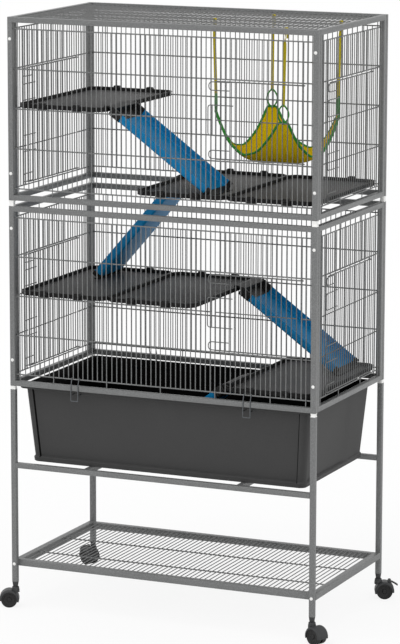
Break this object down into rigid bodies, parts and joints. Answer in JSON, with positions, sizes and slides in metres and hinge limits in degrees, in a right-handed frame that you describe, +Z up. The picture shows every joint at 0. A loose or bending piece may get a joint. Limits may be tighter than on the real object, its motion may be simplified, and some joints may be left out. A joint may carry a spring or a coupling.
{
  "type": "ferret cage",
  "caption": "Two-storey wire ferret cage on a wheeled stand, with hooked trays, ramps, hammock, pull-out pan and doors in front and sides.",
  "frame": {"origin": "on the floor, under the middle of the cage's outline", "axes": "+Z up, +X towards the viewer's right, -Y towards the front with the front doors"},
  "size_m": [0.8538, 0.4834, 1.407],
  "materials": {
    "painted_steel": "grey hammered powder coat, satin",
    "door_wire": "grey powder coat, satin",
    "plated_wire": "zinc plated wire",
    "tray_plastic": "moulded grey plastic, smooth deck",
    "pan_plastic": "moulded dark grey plastic",
    "ramp_plastic": "moulded blue plastic with dark ends",
    "caster_plastic": "moulded dark grey nylon",
    "wheel_plastic": "moulded dark grey nylon",
    "brake_plastic": "moulded black nylon",
    "cloth": "woven cloth, yellow with a green edge",
    "webbing": "woven webbing"
  },
  "bodies": {
    "cage": {"lower_front_panel": "painted_steel", "lower_back_panel": "painted_steel", "lower_left_panel": "painted_steel", "lower_right_panel": "painted_steel", "upper_front_panel": "painted_steel", "upper_back_panel": "painted_steel", "upper_left_panel": "painted_steel", "upper_right_panel": "painted_steel", "top_grille": "painted_steel", "front_leg_frame": "painted_steel", "rear_leg_frame": "painted_steel", "left_cross_bar": "painted_steel", "right_cross_bar": "painted_steel", "storage_shelf": "painted_steel", "upper_left_tray": "tray_plastic", "upper_middle_tray": "tray_plastic", "upper_right_tray": "tray_plastic", "lower_left_tray": "tray_plastic", "lower_middle_tray": "tray_plastic", "lower_right_tray": "tray_plastic", "rear_left_pan_clip": "plated_wire", "rear_right_pan_clip": "plated_wire", "hammock_cloth": "cloth", "hammock_strap_left": "webbing", "hammock_strap_front": "webbing", "hammock_strap_right": "webbing", "hammock_strap_rear": "webbing"},
    "lower_front_door": {"lower_front_door": "door_wire"},
    "lower_right_door": {"lower_right_door": "door_wire"},
    "lower_left_door": {"lower_left_door": "door_wire"},
    "lower_front_latch": {"lower_front_latch": "door_wire"},
    "lower_right_latch_low": {"lower_right_latch_low": "door_wire"},
    "lower_right_latch_high": {"lower_right_latch_high": "door_wire"},
    "lower_left_latch_low": {"lower_left_latch_low": "door_wire"},
    "lower_left_latch_high": {"lower_left_latch_high": "door_wire"},
    "upper_front_door": {"upper_front_door": "door_wire"},
    "upper_right_door": {"upper_right_door": "door_wire"},
    "upper_left_door": {"upper_left_door": "door_wire"},
    "upper_front_latch": {"upper_front_latch": "door_wire"},
    "upper_right_latch_low": {"upper_right_latch_low": "door_wire"},
    "upper_right_latch_high": {"upper_right_latch_high": "door_wire"},
    "upper_left_latch_low": {"upper_left_latch_low": "door_wire"},
    "upper_left_latch_high": {"upper_left_latch_high": "door_wire"},
    "upper_front_ramp": {"upper_front_ramp": "ramp_plastic"},
    "upper_rear_ramp": {"upper_rear_ramp": "ramp_plastic"},
    "lower_rear_ramp": {"lower_rear_ramp": "ramp_plastic"},
    "lower_front_ramp": {"lower_front_ramp": "ramp_plastic"},
    "pan": {"pan": "pan_plastic", "front_left_pan_clip": "plated_wire", "front_right_pan_clip": "plated_wire"},
    "front_left_caster": {"front_left_caster": "caster_plastic"},
    "front_left_wheels": {"front_left_wheels": "wheel_plastic"},
    "front_right_caster": {"front_right_caster": "caster_plastic"},
    "front_right_wheels": {"front_right_wheels": "wheel_plastic"},
    "rear_left_caster": {"rear_left_caster": "caster_plastic"},
    "rear_left_wheels": {"rear_left_wheels": "wheel_plastic"},
    "rear_left_brake": {"rear_left_brake": "brake_plastic"},
    "rear_right_caster": {"rear_right_caster": "caster_plastic"},
    "rear_right_wheels": {"rear_right_wheels": "wheel_plastic"},
    "rear_right_brake": {"rear_right_brake": "brake_plastic"}
  },
  "joints": [
    {"name": "lower_front_door_hinge", "type": "hinge", "parent": "cage", "child": "lower_front_door", "pos_m": [0.34967, -0.21265, 0.5385], "axis": [0, 0, 1], "range_deg": [0, 140]},
    {"name": "lower_right_door_hinge", "type": "hinge", "parent": "cage", "child": "lower_right_door", "pos_m": [0.381, 0.13095, 0.5385], "axis": [0, 0, 1], "range_deg": [0, 140]},
    {"name": "lower_left_door_hinge", "type": "hinge", "parent": "cage", "child": "lower_left_door", "pos_m": [-0.381, 0.13095, 0.5385], "axis": [0, 0, -1], "range_deg": [0, 140]},
    {"name": "lower_front_latch_slide", "type": "slide", "parent": "lower_front_door", "child": "lower_front_latch", "axis": [1, 0, 0], "range_m": [0, 0.025]},
    {"name": "lower_right_latch_low_slide", "type": "slide", "parent": "lower_right_door", "child": "lower_right_latch_low", "axis": [0, 1, 0], "range_m": [0, 0.025]},
    {"name": "lower_right_latch_high_slide", "type": "slide", "parent": "lower_right_door", "child": "lower_right_latch_high", "axis": [0, 1, 0], "range_m": [0, 0.025]},
    {"name": "lower_left_latch_low_slide", "type": "slide", "parent": "lower_left_door", "child": "lower_left_latch_low", "axis": [0, 1, 0], "range_m": [0, 0.025]},
    {"name": "lower_left_latch_high_slide", "type": "slide", "parent": "lower_left_door", "child": "lower_left_latch_high", "axis": [0, 1, 0], "range_m": [0, 0.025]},
    {"name": "upper_front_door_hinge", "type": "hinge", "parent": "cage", "child": "upper_front_door", "pos_m": [0.34967, -0.21265, 0.9795], "axis": [0, 0, 1], "range_deg": [0, 140]},
    {"name": "upper_right_door_hinge", "type": "hinge", "parent": "cage", "child": "upper_right_door", "pos_m": [0.381, 0.13095, 0.9795], "axis": [0, 0, 1], "range_deg": [0, 140]},
    {"name": "upper_left_door_hinge", "type": "hinge", "parent": "cage", "child": "upper_left_door", "pos_m": [-0.381, 0.13095, 0.9795], "axis": [0, 0, -1], "range_deg": [0, 140]},
    {"name": "upper_front_latch_slide", "type": "slide", "parent": "upper_front_door", "child": "upper_front_latch", "axis": [1, 0, 0], "range_m": [0, 0.025]},
    {"name": "upper_right_latch_low_slide", "type": "slide", "parent": "upper_right_door", "child": "upper_right_latch_low", "axis": [0, 1, 0], "range_m": [0, 0.025]},
    {"name": "upper_right_latch_high_slide", "type": "slide", "parent": "upper_right_door", "child": "upper_right_latch_high", "axis": [0, 1, 0], "range_m": [0, 0.025]},
    {"name": "upper_left_latch_low_slide", "type": "slide", "parent": "upper_left_door", "child": "upper_left_latch_low", "axis": [0, 1, 0], "range_m": [0, 0.025]},
    {"name": "upper_left_latch_high_slide", "type": "slide", "parent": "upper_left_door", "child": "upper_left_latch_high", "axis": [0, 1, 0], "range_m": [0, 0.025]},
    {"name": "upper_front_ramp_lift", "type": "hinge", "parent": "cage", "child": "upper_front_ramp", "pos_m": [-0.15166, -0.119, 1.20525], "axis": [0, -1, 0], "range_deg": [0, 8]},
    {"name": "upper_rear_ramp_lift", "type": "hinge", "parent": "cage", "child": "upper_rear_ramp", "pos_m": [-0.07313, 0.119, 1.019], "axis": [0, 1, 0], "range_deg": [0, 14]},
    {"name": "lower_rear_ramp_lift", "type": "hinge", "parent": "cage", "child": "lower_rear_ramp", "pos_m": [0.07313, 0.119, 0.76425], "axis": [0, -1, 0], "range_deg": [0, 6]},
    {"name": "lower_front_ramp_lift", "type": "hinge", "parent": "cage", "child": "lower_front_ramp", "pos_m": [0.15166, -0.109, 0.578], "axis": [0, 1, 0], "range_deg": [0, 24]},
    {"name": "pan_slide", "type": "slide", "parent": "cage", "child": "pan", "axis": [0, -1, 0], "range_m": [0, 0.21]},
    {"name": "front_left_swivel", "type": "hinge", "parent": "cage", "child": "front_left_caster", "pos_m": [-0.381, -0.21265, 0.05], "axis": [0, 0, 1], "continuous": true},
    {"name": "front_left_wheel_spin", "type": "hinge", "parent": "front_left_caster", "child": "front_left_wheels", "pos_m": [-0.3947, -0.21875, 0.0195], "axis": [0.4067, -0.9135, 0], "continuous": true},
    {"name": "front_right_swivel", "type": "hinge", "parent": "cage", "child": "front_right_caster", "pos_m": [0.381, -0.21265, 0.05], "axis": [0, 0, 1], "continuous": true},
    {"name": "front_right_wheel_spin", "type": "hinge", "parent": "front_right_caster", "child": "front_right_wheels", "pos_m": [0.3947, -0.21875, 0.0195], "axis": [0.4067, 0.9135, 0], "continuous": true},
    {"name": "rear_left_swivel", "type": "hinge", "parent": "cage", "child": "rear_left_caster", "pos_m": [-0.381, 0.21265, 0.05], "axis": [0, 0, 1], "continuous": true},
    {"name": "rear_left_wheel_spin", "type": "hinge", "parent": "rear_left_caster", "child": "rear_left_wheels", "pos_m": [-0.3947, 0.21875, 0.0195], "axis": [-0.4067, -0.9135, 0], "continuous": true},
    {"name": "rear_left_brake_press", "type": "hinge", "parent": "rear_left_caster", "child": "rear_left_brake", "pos_m": [-0.40567, 0.22363, 0.04321], "axis": [-0.4067, -0.9135, 0], "range_deg": [0, 10]},
    {"name": "rear_right_swivel", "type": "hinge", "parent": "cage", "child": "rear_right_caster", "pos_m": [0.381, 0.21265, 0.05], "axis": [0, 0, 1], "continuous": true},
    {"name": "rear_right_wheel_spin", "type": "hinge", "parent": "rear_right_caster", "child": "rear_right_wheels", "pos_m": [0.3947, 0.21875, 0.0195], "axis": [-0.4067, 0.9135, 0], "continuous": true},
    {"name": "rear_right_brake_press", "type": "hinge", "parent": "rear_right_caster", "child": "rear_right_brake", "pos_m": [0.40567, 0.22363, 0.04321], "axis": [-0.4067, 0.9135, 0], "range_deg": [0, 10]}
  ]
}
